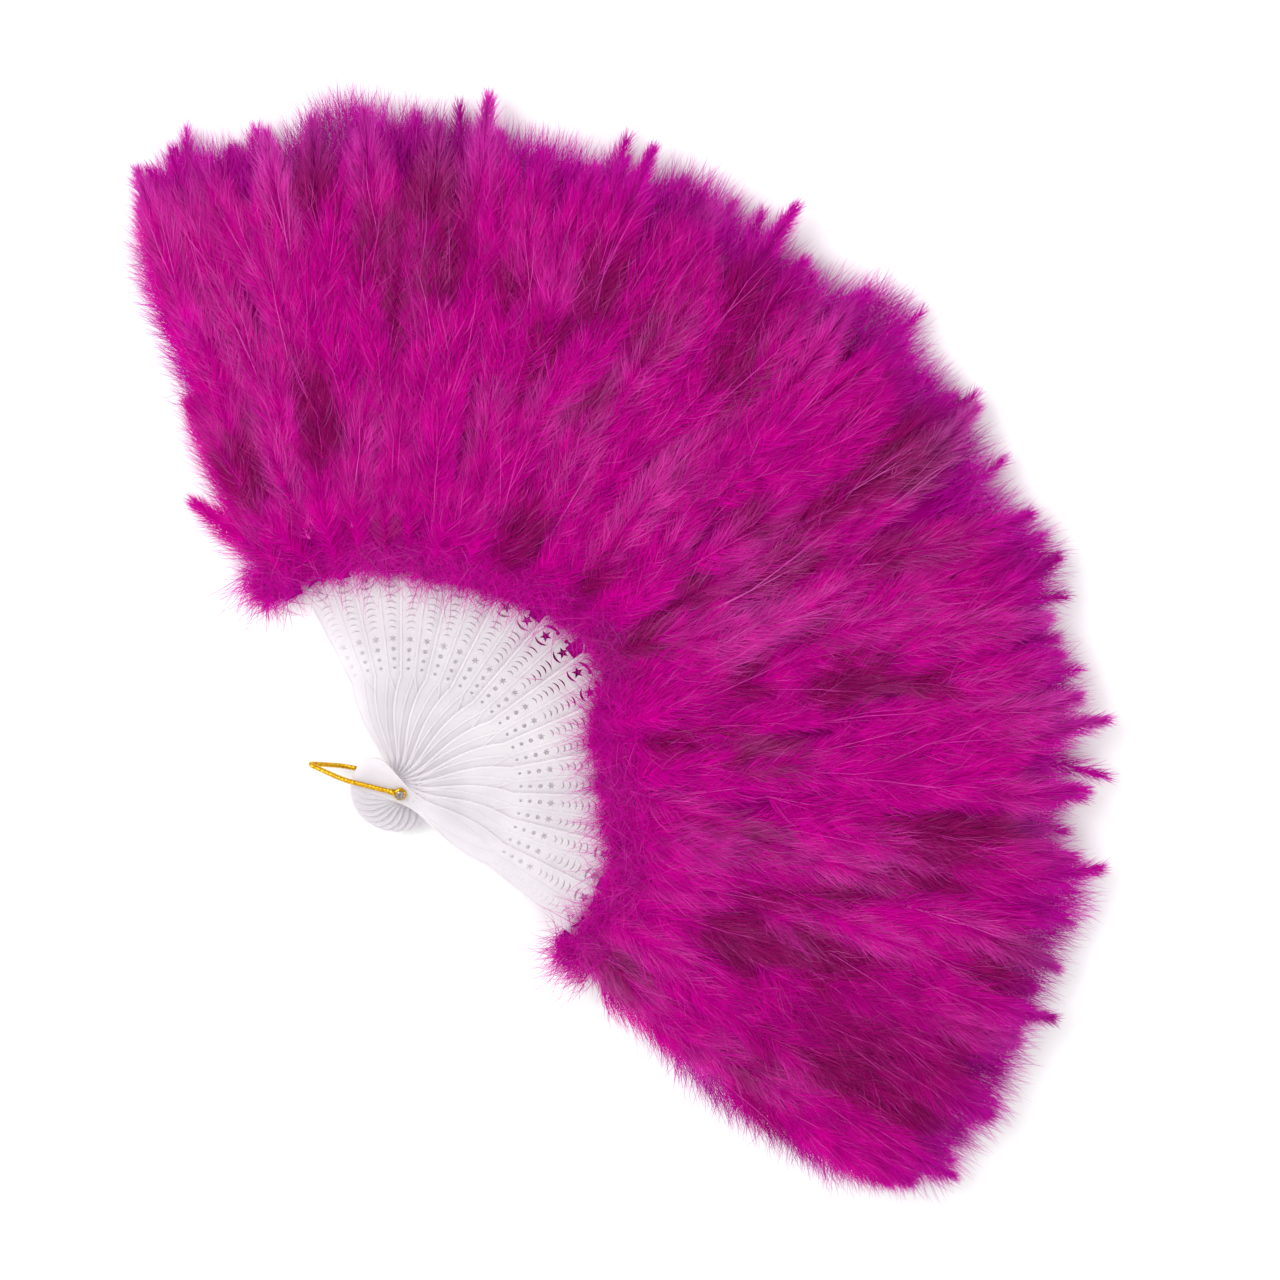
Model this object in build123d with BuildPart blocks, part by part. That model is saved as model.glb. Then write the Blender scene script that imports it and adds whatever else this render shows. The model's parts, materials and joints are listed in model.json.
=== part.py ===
"""Marabou feather folding fan: pierced plastic sticks on one rivet, feathers on both faces of each, and a wire bail.

The fan lies open and face up. +Z is the rivet's axis, +Y the middle of the spread and X its width. Stick 0 is the
lowest, at the spread's left end, and each next stick lies on the last and further clockwise. The origin is under the
middle of the whole, on the surface that the fan lies on. Sizes are millimetres and degrees.
"""

import os
from math import cos, radians, sin, tan

from build123d import *

# The spread.
STICK_COUNT = 12
STICK_PITCH = 13.01  # between the centre lines of neighbouring sticks when the fan is open
TOP_STICK = STICK_COUNT - 1
TIP_RADIUS = 412.0  # from the rivet to the feathers' ends

# The stack of sticks, bottom to top.
STACK_BOTTOM = 10.0
STICK_THICKNESS = 1.7
PANEL_THICKNESS = 0.8
STICK_GAP = 0.3
LEVEL_PITCH = STICK_THICKNESS + STICK_GAP
STACK_TOP = STACK_BOTTOM + TOP_STICK * LEVEL_PITCH + STICK_THICKNESS

# One stick, seen from above with its centre line along Y and the rivet at the origin.
HEAD_LENGTH = 30.0
HEAD_HALF_WIDTH = 10.5
HEAD_WIDEST = 16.0  # from the rivet to the head's widest place
HEAD_TOP = 9.0  # the head and neck are solid up to here
NECK_HALF_WIDTH = 4.5
NECK_RADIUS = 10.0
BELLY_HALF_WIDTH = 10.2
BELLY_RADIUS = 51.0
WAIST_HALF_WIDTH = 8.5
WAIST_RADIUS = 67.0
PANEL_RADIUS = 145.0  # to the top of the scallop
SCALLOP_HEIGHT = 10.0
SHOULDER_RADIUS = PANEL_RADIUS - SCALLOP_HEIGHT
PANEL_SLOPE = tan(radians(STICK_PITCH / 2))
TONGUE_LENGTH = 100.0
TONGUE_ROOT_HALF_WIDTH = 4.0
TONGUE_TIP_HALF_WIDTH = 2.5
RIM_WIDTH = 1.2
RIDGE_WIDTH = 1.2
SIDE_RIDGE_WIDTH = 1.1
SIDE_RIDGE_ROOT = 1.45  # from the centre line to a side ridge, where it leaves the neck
SIDE_RIDGE_SPREAD = 4.3  # the same where they are furthest apart
SIDE_RIDGE_WIDEST = 45.0  # from the rivet to that place
SIDE_RIDGE_OVERLAP = 1.0  # how far its ends run into the neck and the centre ridge

# The pierced pattern of half a stick. It follows a line from the rivet, at this angle from the centre line.
MOTIF_ANGLE = STICK_PITCH / 4
DOTS = ((71.5, 1.0), (77.0, 1.2), (83.0, 1.4))  # (distance from the rivet, radius)
SMALL_STAR_RADIUS = 89.5
SMALL_STAR_SIZE = 2.7
SMALL_STAR_POINTS = 6
ARC_FIRST_RADIUS = 95.5
ARC_COUNT = 6
ARC_SPACING = 3.9
ARC_HALF_LENGTH = 2.3
ARC_GROWTH = 0.33
ARC_RISE = 1.9
ARC_WIDTH = 0.95
ARC_LEAN = 1.0  # how much lower an arc's outer end is
STAR_RADIUS = SHOULDER_RADIUS - 8.0
STAR_SIZE = 4.0
STAR_POINTS = 5
STAR_INNER_SHARE = 0.42
MOON_DROP = 3.8  # from the star's middle to the moon below it
MOON_HALF_LENGTH = 4.7
MOON_LEAN = 1.2
MOON_DIP = 2.6
MOON_WIDTH = 1.5
COMMA_LIFT = 4.8  # from the star's middle to the comma above it
COMMA_SHIFT = 0.3
COMMA_HALF_LENGTH = 4.9
COMMA_RISE = 2.8
COMMA_WIDTH = 2.1
COMMA_HEAD_RADIUS = 1.3
BROW_LIFT = 9.2  # from the star's middle to the fine arc at the top
BROW_SHIFT = 0.9
BROW_HALF_LENGTH = 5.1
BROW_RISE = 2.0
BROW_WIDTH = 1.0
TOP_LEAN = 2.8  # how much lower the outer ends of the comma and the fine arc are

# The feathers' pads.
PAD_START = PANEL_RADIUS + 1.0
PAD_GAP = 0.4  # between neighbouring pads
PAD_HEIGHT = 42.0  # from the lowest feathers to the highest

# The fan's own sides, as distances from an end stick's centre line.
LEFT_SIDE_WIDTH = 45.0
CORNER_RADIUS = 24.0
RIGHT_SIDE_ROOT_WIDTH = 40.0
RIGHT_SIDE_TIP_WIDTH = 64.0
RIGHT_TIP_CORNER_RADIUS = 44.0

# The bail, a bent wire with a flat eye at each end.
PIN_RADIUS = 1.6
PIN_CLEARANCE = 0.05
HOLE_RADIUS = PIN_RADIUS + PIN_CLEARANCE
BAIL_DIRECTION = 217.65  # from +X, counter-clockwise
BAIL_WIRE_RADIUS = 1.5
BAIL_EYE_RADIUS = HOLE_RADIUS + 2.25
BAIL_LENGTH = HEAD_LENGTH + 27.0
BAIL_BEND_START = HEAD_LENGTH + 4.0
BAIL_BOW = 0.8  # how much further apart the arms are at the bend than at the rivet, each
BAIL_BEND_RADIUS = 12.0
BAIL_APEX_RADIUS = 2.6
BAIL_GAP = 0.2
EYE_THICKNESS = 2 * BAIL_WIRE_RADIUS + 0.2

# The rivet.
RIVET_HEAD_RADIUS = PIN_RADIUS + 1.1
RIVET_HEAD_THICKNESS = 1.2
CAP_HEIGHT = 1.6
CAP_DEPTH = 0.9  # how far the pin's end goes into the cap
RIVET_FLANGE_TOP = STACK_BOTTOM - EYE_THICKNESS - 2 * BAIL_GAP
CAP_BOTTOM = STACK_TOP + EYE_THICKNESS + 2 * BAIL_GAP

# The rivet's place: the bail's end and the feathers' ends are as far from the origin.
PIVOT_Y = (BAIL_LENGTH * -sin(radians(BAIL_DIRECTION)) - TIP_RADIUS) / 2


def stick_plane(index, height):
    """The plane at this height, with its origin on the rivet's axis and local Y along a stick's centre line."""
    turn = radians(90 + (TOP_STICK / 2 - index) * STICK_PITCH)
    return Plane(origin=(0, PIVOT_Y, height), x_dir=(sin(turn), -cos(turn), 0), z_dir=(0, 0, 1))


def rivet_plane(height):
    """The level plane at this height, with its origin on the rivet's axis."""
    return Plane(origin=(0, PIVOT_Y, height), z_dir=(0, 0, 1))


def level(index):
    """The height of a stick's underside."""
    return STACK_BOTTOM + index * LEVEL_PITCH


def draw_outline(inset):
    """The stick's face, from the end of its head to its scalloped top, drawn in from its edge by inset."""
    head_x, neck_x, belly_x, waist_x = [
        half_width - inset for half_width in (HEAD_HALF_WIDTH, NECK_HALF_WIDTH, BELLY_HALF_WIDTH, WAIST_HALF_WIDTH)
    ]
    shoulder_x = waist_x + (SHOULDER_RADIUS - WAIST_RADIUS) * PANEL_SLOPE
    with BuildSketch() as outline:
        with BuildLine():
            head = ThreePointArc((-head_x, -HEAD_WIDEST), (0, inset - HEAD_LENGTH), (head_x, -HEAD_WIDEST))
            for side, direction in ((-1, -(head % 0)), (1, head % 1)):
                belly = (side * belly_x, BELLY_RADIUS)
                waist = (side * waist_x, WAIST_RADIUS)
                Spline(
                    (side * head_x, -HEAD_WIDEST),
                    (side * neck_x, NECK_RADIUS),
                    belly,
                    tangents=(direction, (0, 1)),
                )
                TangentArc(belly, waist, tangent=(0, 1))
                Line(waist, (side * shoulder_x, SHOULDER_RADIUS))
            ThreePointArc(
                (-shoulder_x, SHOULDER_RADIUS),
                (0, PANEL_RADIUS - inset),
                (shoulder_x, SHOULDER_RADIUS),
            )
        make_face()
    return outline.sketch


def draw_recess():
    """Where the panel is thin: all of it above the neck but the rim, the centre ridge and the two that meet it."""
    with BuildSketch() as recess:
        add(draw_outline(RIM_WIDTH))
        with Locations((0, HEAD_TOP)):
            Rectangle(2 * PANEL_RADIUS, PANEL_RADIUS, align=(Align.CENTER, Align.MAX), mode=Mode.SUBTRACT)
        with Locations((0, WAIST_RADIUS)):
            Rectangle(RIDGE_WIDTH, PANEL_RADIUS, align=(Align.CENTER, Align.MIN), mode=Mode.SUBTRACT)
        for side in (-1, 1):
            add(ridge(side), mode=Mode.SUBTRACT)
    return recess.sketch


def ridge(side):
    """One of the two ridges that spread from the neck and meet the centre ridge at the waist."""
    half = SIDE_RIDGE_WIDTH / 2
    with BuildSketch(mode=Mode.PRIVATE) as strip:
        with BuildLine():
            left, right = [
                Spline(
                    (side * SIDE_RIDGE_ROOT + shift, HEAD_TOP - SIDE_RIDGE_OVERLAP),
                    (side * SIDE_RIDGE_SPREAD + shift, SIDE_RIDGE_WIDEST),
                    (shift, WAIST_RADIUS + SIDE_RIDGE_OVERLAP),
                )
                for shift in (-half, half)
            ]
            Line(left @ 0, right @ 0)
            Line(left @ 1, right @ 1)
        make_face()
    return strip.sketch


def star(points, size):
    """A star's face, one point up."""
    corners = []
    for step in range(2 * points):
        reach = size * (STAR_INNER_SHARE if step % 2 else 1)
        turn = radians(90 + 180 * step / points)
        corners.append((reach * cos(turn), reach * sin(turn)))
    with BuildSketch(mode=Mode.PRIVATE) as shape:
        with BuildLine():
            Polyline(*corners, close=True)
        make_face()
    return shape.sketch


def crescent(middle, half_length, lean, rise, thickness):
    """A moon-shaped face about its middle, bowed up by rise, this thick, and lower by lean at its outer end."""
    middle_x, middle_y = middle
    start = (middle_x - half_length, middle_y + lean / 2)
    end = (middle_x + half_length, middle_y - lean / 2)
    with BuildSketch(mode=Mode.PRIVATE) as shape:
        with BuildLine():
            ThreePointArc(start, (middle_x, middle_y + rise), end)
            ThreePointArc(end, (middle_x, middle_y + rise - thickness), start)
        make_face()
    return shape.sketch


def draw_motif():
    """The openings of a stick's right half, drawn along Y and then turned to their own line."""
    with BuildSketch() as openings:
        for radius, size in DOTS:
            with Locations((0, radius)):
                Circle(size)
        with Locations((0, SMALL_STAR_RADIUS)):
            add(star(SMALL_STAR_POINTS, SMALL_STAR_SIZE))
        for step in range(ARC_COUNT):
            middle = (0, ARC_FIRST_RADIUS + step * ARC_SPACING)
            add(crescent(middle, ARC_HALF_LENGTH + step * ARC_GROWTH, ARC_LEAN, ARC_RISE, ARC_WIDTH))
        with Locations((0, STAR_RADIUS)):
            add(star(STAR_POINTS, STAR_SIZE))
        moon = (0, STAR_RADIUS - MOON_DROP)
        add(crescent(moon, MOON_HALF_LENGTH, MOON_LEAN, -MOON_DIP, -MOON_WIDTH))
        comma = (COMMA_SHIFT, STAR_RADIUS + COMMA_LIFT)
        add(crescent(comma, COMMA_HALF_LENGTH, TOP_LEAN, COMMA_RISE, COMMA_WIDTH))
        with Locations((COMMA_SHIFT - COMMA_HALF_LENGTH + COMMA_HEAD_RADIUS / 2, comma[1] + TOP_LEAN / 2)):
            Circle(COMMA_HEAD_RADIUS)
        brow = (BROW_SHIFT, STAR_RADIUS + BROW_LIFT)
        add(crescent(brow, BROW_HALF_LENGTH, TOP_LEAN, BROW_RISE, BROW_WIDTH))
    return openings.sketch.rotate(Axis.Z, -MOTIF_ANGLE)


def make_stick(index, outline, recess, motif):
    """One stick: a thick outline with a thin, pierced panel, the tongue under the feathers and the rivet's hole."""
    base = stick_plane(index, level(index))
    with BuildPart() as stick:
        with BuildSketch(base):
            add(outline)
        extrude(amount=STICK_THICKNESS)
        with BuildSketch(base.offset(PANEL_THICKNESS)):
            add(recess)
        extrude(amount=STICK_THICKNESS, mode=Mode.SUBTRACT)
        with BuildSketch(base):
            add(motif)
            add(mirror(motif, about=Plane.YZ, mode=Mode.PRIVATE))
            Circle(HOLE_RADIUS)
        extrude(amount=STICK_THICKNESS, mode=Mode.SUBTRACT)
        with BuildSketch(base):
            with BuildLine():
                Polyline(
                    (-TONGUE_ROOT_HALF_WIDTH, PANEL_RADIUS - RIM_WIDTH),
                    (TONGUE_ROOT_HALF_WIDTH, PANEL_RADIUS - RIM_WIDTH),
                    (TONGUE_TIP_HALF_WIDTH, PANEL_RADIUS + TONGUE_LENGTH),
                    (-TONGUE_TIP_HALF_WIDTH, PANEL_RADIUS + TONGUE_LENGTH),
                    close=True,
                )
            make_face()
        extrude(amount=PANEL_THICKNESS)
    return stick.part


def pad_edge(side, index):
    """The inner and outer end of a pad's edge on this side. An end stick's pad reaches to the fan's own side."""
    if index == 0 and side < 0:
        inner, outer = LEFT_SIDE_WIDTH, LEFT_SIDE_WIDTH
    elif index == TOP_STICK and side > 0:
        inner, outer = RIGHT_SIDE_ROOT_WIDTH, RIGHT_SIDE_TIP_WIDTH
    else:
        inner = PAD_START * PANEL_SLOPE - PAD_GAP / 2
        outer = TIP_RADIUS * sin(radians(STICK_PITCH / 2)) - PAD_GAP / 2
    return (side * inner, PAD_START), (side * outer, (TIP_RADIUS**2 - outer**2) ** 0.5)


def draw_pad(index):
    """The flat outline of a stick's feathers."""
    left_root, left_tip = pad_edge(-1, index)
    right_root, right_tip = pad_edge(1, index)
    with BuildSketch() as pad:
        with BuildLine():
            Polyline(left_tip, left_root, right_root, right_tip)
            ThreePointArc(left_tip, (0, TIP_RADIUS), right_tip)
        make_face()
        if index == 0:
            fillet(pad.vertices().sort_by(Axis.X)[:2], CORNER_RADIUS)
        if index == TOP_STICK:
            fillet(pad.vertices().sort_by(Axis.X)[-2:].sort_by(Axis.Y)[0], CORNER_RADIUS)
            fillet(pad.vertices().sort_by(Axis.X)[-1], RIGHT_TIP_CORNER_RADIUS)
    return pad.sketch


def make_pad(index, bottom, top):
    """The feathers on one face of a stick's tongue, between these heights."""
    with BuildPart() as pad:
        with BuildSketch(stick_plane(index, bottom)):
            add(draw_pad(index))
        extrude(amount=top - bottom)
    return pad.part


def make_rivet():
    """The pin and its flat rear head. The pin's front end goes into the cap."""
    with BuildPart() as rivet:
        with BuildSketch(rivet_plane(RIVET_FLANGE_TOP - RIVET_HEAD_THICKNESS)):
            Circle(RIVET_HEAD_RADIUS)
        extrude(amount=RIVET_HEAD_THICKNESS)
        chamfer(rivet.edges().group_by(Axis.Z)[0], RIVET_HEAD_THICKNESS / 3)
        with BuildSketch(rivet_plane(RIVET_FLANGE_TOP)):
            Circle(PIN_RADIUS)
        extrude(amount=CAP_BOTTOM + CAP_DEPTH - RIVET_FLANGE_TOP)
    return rivet.part


def make_cap():
    """The domed cap that closes the pin's front end."""
    with BuildPart() as cap:
        with BuildSketch(rivet_plane(CAP_BOTTOM)):
            Circle(RIVET_HEAD_RADIUS)
        extrude(amount=CAP_HEIGHT)
        fillet(cap.edges().group_by(Axis.Z)[-1], CAP_HEIGHT / 2)
        with BuildSketch(rivet_plane(CAP_BOTTOM)):
            Circle(PIN_RADIUS)
        extrude(amount=CAP_DEPTH, mode=Mode.SUBTRACT)
    return cap.part


def make_bail():
    """The bail: an eye on each end of the rivet, and a wire past the heads to a point between them."""
    turn = radians(BAIL_DIRECTION)
    low = STACK_BOTTOM - BAIL_GAP - EYE_THICKNESS / 2
    high = STACK_TOP + BAIL_GAP + EYE_THICKNESS / 2
    start = (BAIL_EYE_RADIUS + HOLE_RADIUS) / 2
    wire_plane = Plane(origin=(0, PIVOT_Y, 0), x_dir=(cos(turn), sin(turn), 0), z_dir=(sin(turn), -cos(turn), 0))
    with BuildPart() as bail:
        with BuildLine(wire_plane) as route:
            FilletPolyline(
                (start, low),
                (BAIL_BEND_START, low - BAIL_BOW),
                (BAIL_LENGTH, (low + high) / 2),
                (BAIL_BEND_START, high + BAIL_BOW),
                (start, high),
                radius=[BAIL_BEND_RADIUS, BAIL_APEX_RADIUS, BAIL_BEND_RADIUS],
            )
        with BuildSketch(Plane(origin=route.wire() @ 0, z_dir=route.wire() % 0)):
            Circle(BAIL_WIRE_RADIUS)
        sweep(path=route.wire())
        for height in (low, high):
            with BuildSketch(rivet_plane(height - EYE_THICKNESS / 2)):
                Circle(BAIL_EYE_RADIUS)
            extrude(amount=EYE_THICKNESS)
        with BuildSketch(rivet_plane(0)):
            Circle(HOLE_RADIUS)
        extrude(amount=CAP_BOTTOM, mode=Mode.SUBTRACT)
    return bail.part


def stick_name(index):
    """The node name of a stick."""
    if index == 0:
        return "guard_back"
    return "guard_front" if index == TOP_STICK else f"stick_{index:02d}"


def save(part, name):
    """Labels a finished piece and writes it."""
    part.label = name
    export_step(part, f"parts/{name}.step")


os.makedirs("parts", exist_ok=True)
stick_outline = draw_outline(0)
panel_recess = draw_recess()
half_motif = draw_motif()
for number in range(STICK_COUNT):
    save(make_stick(number, stick_outline, panel_recess, half_motif), stick_name(number))
    save(make_pad(number, 0, level(number)), f"feathers_back_{number:02d}")
    save(make_pad(number, level(number) + PANEL_THICKNESS, PAD_HEIGHT), f"feathers_front_{number:02d}")
save(make_rivet(), "rivet")
save(make_cap(), "rivet_cap")
save(make_bail(), "bail")
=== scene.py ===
import json
from math import cos, pi, radians, sin

import bpy
import numpy as np
from mathutils import Matrix, Vector


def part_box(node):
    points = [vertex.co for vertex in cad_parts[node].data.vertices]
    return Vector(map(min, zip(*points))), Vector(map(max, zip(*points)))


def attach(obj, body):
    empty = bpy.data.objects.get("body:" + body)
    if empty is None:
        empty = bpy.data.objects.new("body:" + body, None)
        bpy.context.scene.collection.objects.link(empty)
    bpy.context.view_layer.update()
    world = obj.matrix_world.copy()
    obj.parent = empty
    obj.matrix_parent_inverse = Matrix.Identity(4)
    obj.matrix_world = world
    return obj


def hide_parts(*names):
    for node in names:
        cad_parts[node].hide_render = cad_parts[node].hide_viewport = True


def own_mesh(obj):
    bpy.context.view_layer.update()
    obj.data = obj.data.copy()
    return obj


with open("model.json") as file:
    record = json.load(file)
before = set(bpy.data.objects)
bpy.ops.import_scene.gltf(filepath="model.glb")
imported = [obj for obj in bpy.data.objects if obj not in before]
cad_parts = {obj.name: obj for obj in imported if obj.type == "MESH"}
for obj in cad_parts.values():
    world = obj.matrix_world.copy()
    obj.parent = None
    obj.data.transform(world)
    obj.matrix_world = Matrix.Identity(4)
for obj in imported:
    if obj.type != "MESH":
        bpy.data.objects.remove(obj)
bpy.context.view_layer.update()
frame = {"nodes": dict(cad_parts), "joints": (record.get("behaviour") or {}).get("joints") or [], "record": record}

MM = 0.001

# ---------------------------------------------------------------- the frame
JOINTS = {joint["name"]: joint for joint in frame["joints"]}
MOUNTS = {mount["name"]: mount for mount in frame["record"]["mounts"]}
PIVOT = np.array(JOINTS["fold"]["pos_m"])
STICK_COUNT = 12
TOP_STICK = STICK_COUNT - 1
PITCH = radians(JOINTS["fold"]["range_deg"][1]) / TOP_STICK
STICKS = ["guard_back"] + [f"stick_{i:02d}" for i in range(1, TOP_STICK)] + ["guard_front"]
BODIES = ["blade_back"] + [f"blade_{i:02d}" for i in range(1, TOP_STICK)] + ["blade_front"]
PAD_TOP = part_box("feathers_front_00")[1][2]
BOTTOM_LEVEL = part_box("guard_back")[0][2]
TOP_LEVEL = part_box("guard_front")[0][2]

# ---------------------------------------------------------------- the feathers, in metres from the rivet
TIP = 412 * MM
INNER_EDGE = 122 * MM  # about where the feathers start, over the pierced panels
PARTING = 16 * MM  # from there to where the dark patches of painted shade between clumps start
EDGE_TURNS = (20, 33, 45, 54, 74, 83, 97, 114, 128, 152)  # degrees around the rivet from +X
EDGE_RADII = (134, 131, 121, 117, 120, 142, 143, 133, 127, 134)  # where the front feathers start there, in mm
EDGE_RAGGED = 11 * MM  # how much that varies from strand to strand
STARS_TURN, STARS_WIDTH = 91, 17  # where the pierced stars show, and how wide that is, in degrees
STARS_BACK_EDGE = 108 * MM  # where the feathers start behind the stars
BACK_EDGE_SHIFT = 2 * MM  # the back ones start this much further in
LEFT_SIDE = 45 * MM  # from the first stick's centre line to the fan's left side
RIGHT_SIDE = (38 * MM, 63 * MM)  # from the last one's to the right side, at its root and further out
SIDE_EASE_START, SIDE_EASE = 150 * MM, 110 * MM  # where the side starts to widen, and over what distance
SIDE_STRANDS = 9 * MM  # what loose strands add to the side
LOWEST = 0.6 * MM  # nothing goes under this, because the floor is at zero
HIGHEST = PAD_TOP + 7 * MM

# The front and back faces of the feathers, as heights.
PAD_MIDDLE = 0.5 * PAD_TOP
MIDDLE_CLIMB = 0.3  # how far the feathers' middle follows the sticks' climb
RIM_FALL = 105 * MM  # the faces close to the thin rim over this distance
RIM_DEPTH = 5 * MM
INNER_RISE = 40 * MM  # and they open from the inner edge over this one
STICKS_END = 250 * MM  # the faces stay clear of the sticks as far as this
FRONT_INNER, FRONT_DROP, FRONT_CLEAR = 3.4 * MM, 2.5 * MM, 2.8 * MM
BACK_INNER, BACK_LEVEL, BACK_CLEAR = 2.2 * MM, 3.5 * MM, 1.2 * MM
LARGE_BUMPS, SMALL_BUMPS = 9 * MM, 4 * MM

PLUME_ROWS = (
    # (plumes across, distance of the root from the rivet, length), and the last row makes the outline's tufts
    (3, 128 * MM, 80 * MM),
    (3, 168 * MM, 98 * MM),
    (3, 210 * MM, 104 * MM),
    (4, 252 * MM, 104 * MM),
    (4, 290 * MM, 100 * MM),
    (3, 316 * MM, 98 * MM),
)
BARBS = {"front": 1280, "back": 520}  # on each plume
BARB_LENGTH = 27 * MM
BARB_WIDTH = 0.38 * MM
BARB_STEPS = 3
LOOSE = {"front": 1500, "back": 800}  # loose strands at each edge of a stick's feathers
FRINGE_LENGTH = 13 * MM
WISP_LENGTH = 33 * MM
WISP_SHARE = 0.22  # of the inner edge's strands
RIM_LENGTH = 25 * MM

# A plume: how its barbs stand on the face and leave the quill, and how plumes are scattered.
PLUME_LIFT, PLUME_SINK, PLUME_SCATTER = 3.0 * MM, 2.0 * MM, 1.6 * MM
BARB_ANGLE, BARB_CLOSING = 56, 38  # in degrees from the quill at its root, and how much less at its tip
QUILL_STRANDS, QUILL_JITTER, QUILL_LIFT, QUILL_WIDTH = 3, 0.5 * MM, 0.5 * MM, 0.6 * MM
ROOT_SCATTER, ROOT_GAP = 9 * MM, 1 * MM
STOP_MIDDLE, STOP_BESIDE, STOP_SIDE = 15 * MM, -3 * MM, -16 * MM  # where plumes stop, from TIP
STOP_SCATTER = (-10 * MM, 6 * MM)

# Where the loose strands stand.
CORNER_START, CORNER_EASE = 60 * MM, 50 * MM  # how the fan's outer corners are rounded
FRINGE_DEPTH, FRINGE_GAP, FRINGE_LIFT = 24 * MM, 2 * MM, 2.0 * MM
TUFT_SIZE, RIM_NEAR, RIM_FAR = 30 * MM, 18 * MM, 52 * MM
SIDE_INNER, SIDE_OUTER = 8 * MM, 32 * MM  # from INNER_EDGE and from TIP
SIDE_NEAR, SIDE_FAR = 2 * MM, 22 * MM
SIDE_TIP_START, SIDE_TIP_EASE, SIDE_TIP_CUT = 78 * MM, 60 * MM, 26 * MM  # its rounding near the tip
FLARE_START, FLARE_EASE = 34 * MM, 26 * MM  # where its strands flare back at the inner corner
SIDE_LEAN, SIDE_LEAN_SPREAD, FLARE_LEAN = 44, 22, (10, 100)  # in degrees

# The down.
DOWN_GRID = (64, 20)  # its corners along and across a stick
DOWN_INNER, DOWN_OUTER = 8 * MM, 36 * MM  # from INNER_EDGE and from TIP
DOWN_SIDE, DOWN_SIDE_CUT = 0.72, 0.3  # its share of the fan's own side, and how much less that is at the tip
DOWN_CUT_START, DOWN_CUT_EASE = 100 * MM, 60 * MM
DOWN_LIFT = 0.4 * MM
DOWN_GAP, DOWN_EASE = 5 * MM, 10 * MM  # how it closes at the inner edge
DOWN_UNDER, DOWN_LEAST = 5 * MM, 1 * MM  # how far it stays under the face, and its least depth

# The feathers' colours, as linear colours: the dye's magenta, the painted shade, the rim's purple and the pale of
# quills and painted highlights, and where the painted shade is darkest, in a hollow low on the right.
MAGENTA = np.array((0.72, 0.0, 0.42))
# The darker colour of the painted shade, between clumps and in the hollow.
PAINTED_SHADE_WINE = np.array((0.37, 0.006, 0.145))
PURPLE = np.array((0.55, 0.006, 0.44))
# Pale, for the quills' own lighter colour and for painted highlights.
PALE_QUILL_AND_HIGHLIGHT = np.array((0.90, 0.25, 0.74))
# The down slab's colour: the magenta darkened as painted shade under the plumes.
DOWN_PAINTED_SHADE = 0.62
DARK_EASE = 20 * MM
PURPLE_START, PURPLE_EASE = 352 * MM, 48 * MM  # where the dye turns purple towards the rim
# A hollow low on the right where the feathers fold, darkened with painted shade.
HOLLOW_TURN, HOLLOW_SPREAD = 23.5, 5.0  # in degrees from +X
HOLLOW_RADIUS, HOLLOW_LENGTH = 312 * MM, 55 * MM


def stick_turn(index):
    """The angle of a stick's centre line from +X at rest."""
    return pi / 2 + (TOP_STICK / 2 - index) * PITCH


def to_row(points, index):
    """Points across, along and above a stick's own centre line, placed in the row frame."""
    turn = stick_turn(index)
    across, along, up = points[..., 0], points[..., 1], points[..., 2]
    x = PIVOT[0] + across * sin(turn) + along * cos(turn)
    y = PIVOT[1] - across * cos(turn) + along * sin(turn)
    return np.stack([x, y, up], axis=-1)


def smooth(value):
    """An eased step from 0 to 1."""
    value = np.clip(value, 0, 1)
    return value * value * (3 - 2 * value)


def patches(seed, row, across, along):
    """Soft random patches between 0 and 1, this wide and long, that run out from the rivet."""
    cells = 64
    grid = np.random.default_rng(seed).random((cells, cells))
    x, y = row[..., 0] - PIVOT[0], row[..., 1] - PIVOT[1]
    places = (np.arctan2(y, x) * 0.28 / across + 200, np.hypot(x, y) / along)
    left, low = [np.floor(place).astype(int) for place in places]
    u, v = [smooth(place % 1) for place in places]
    right, high = (left + 1) % cells, (low + 1) % cells
    left, low = left % cells, low % cells
    near = grid[left, low] * (1 - u) + grid[right, low] * u
    far = grid[left, high] * (1 - u) + grid[right, high] * u
    return near * (1 - v) + far * v


def stick_level(row):
    """The height of the sticks' undersides here, which climbs evenly round the fan."""
    turn = np.arctan2(row[..., 1] - PIVOT[1], row[..., 0] - PIVOT[0])
    share = np.clip((pi / 2 - turn) / PITCH + TOP_STICK / 2, 0, TOP_STICK)
    return BOTTOM_LEVEL + (TOP_LEVEL - BOTTOM_LEVEL) * share / TOP_STICK


def middle_level(row):
    """The height halfway between the feathers' two faces at the rim. It climbs a little with the sticks."""
    return PAD_MIDDLE + MIDDLE_CLIMB * (stick_level(row) - PAD_MIDDLE)


def turn_of(row):
    """The angle of these places around the rivet from +X, in degrees."""
    return np.degrees(np.arctan2(row[..., 1] - PIVOT[1], row[..., 0] - PIVOT[0]))


def inner_edge(row, side):
    """How far from the rivet the feathers start. They leave the stars clear in front, not behind."""
    turn = turn_of(row)
    ragged = (patches(11, row, 0.007, 0.3) - 0.5) * EDGE_RAGGED
    front = np.interp(turn, EDGE_TURNS, EDGE_RADII) * MM
    if side == "front":
        return front + ragged
    stars = np.exp(-(((turn - STARS_TURN) / STARS_WIDTH) ** 2))
    return front - BACK_EDGE_SHIFT + (STARS_BACK_EDGE - front) * stars + 0.5 * ragged


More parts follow.
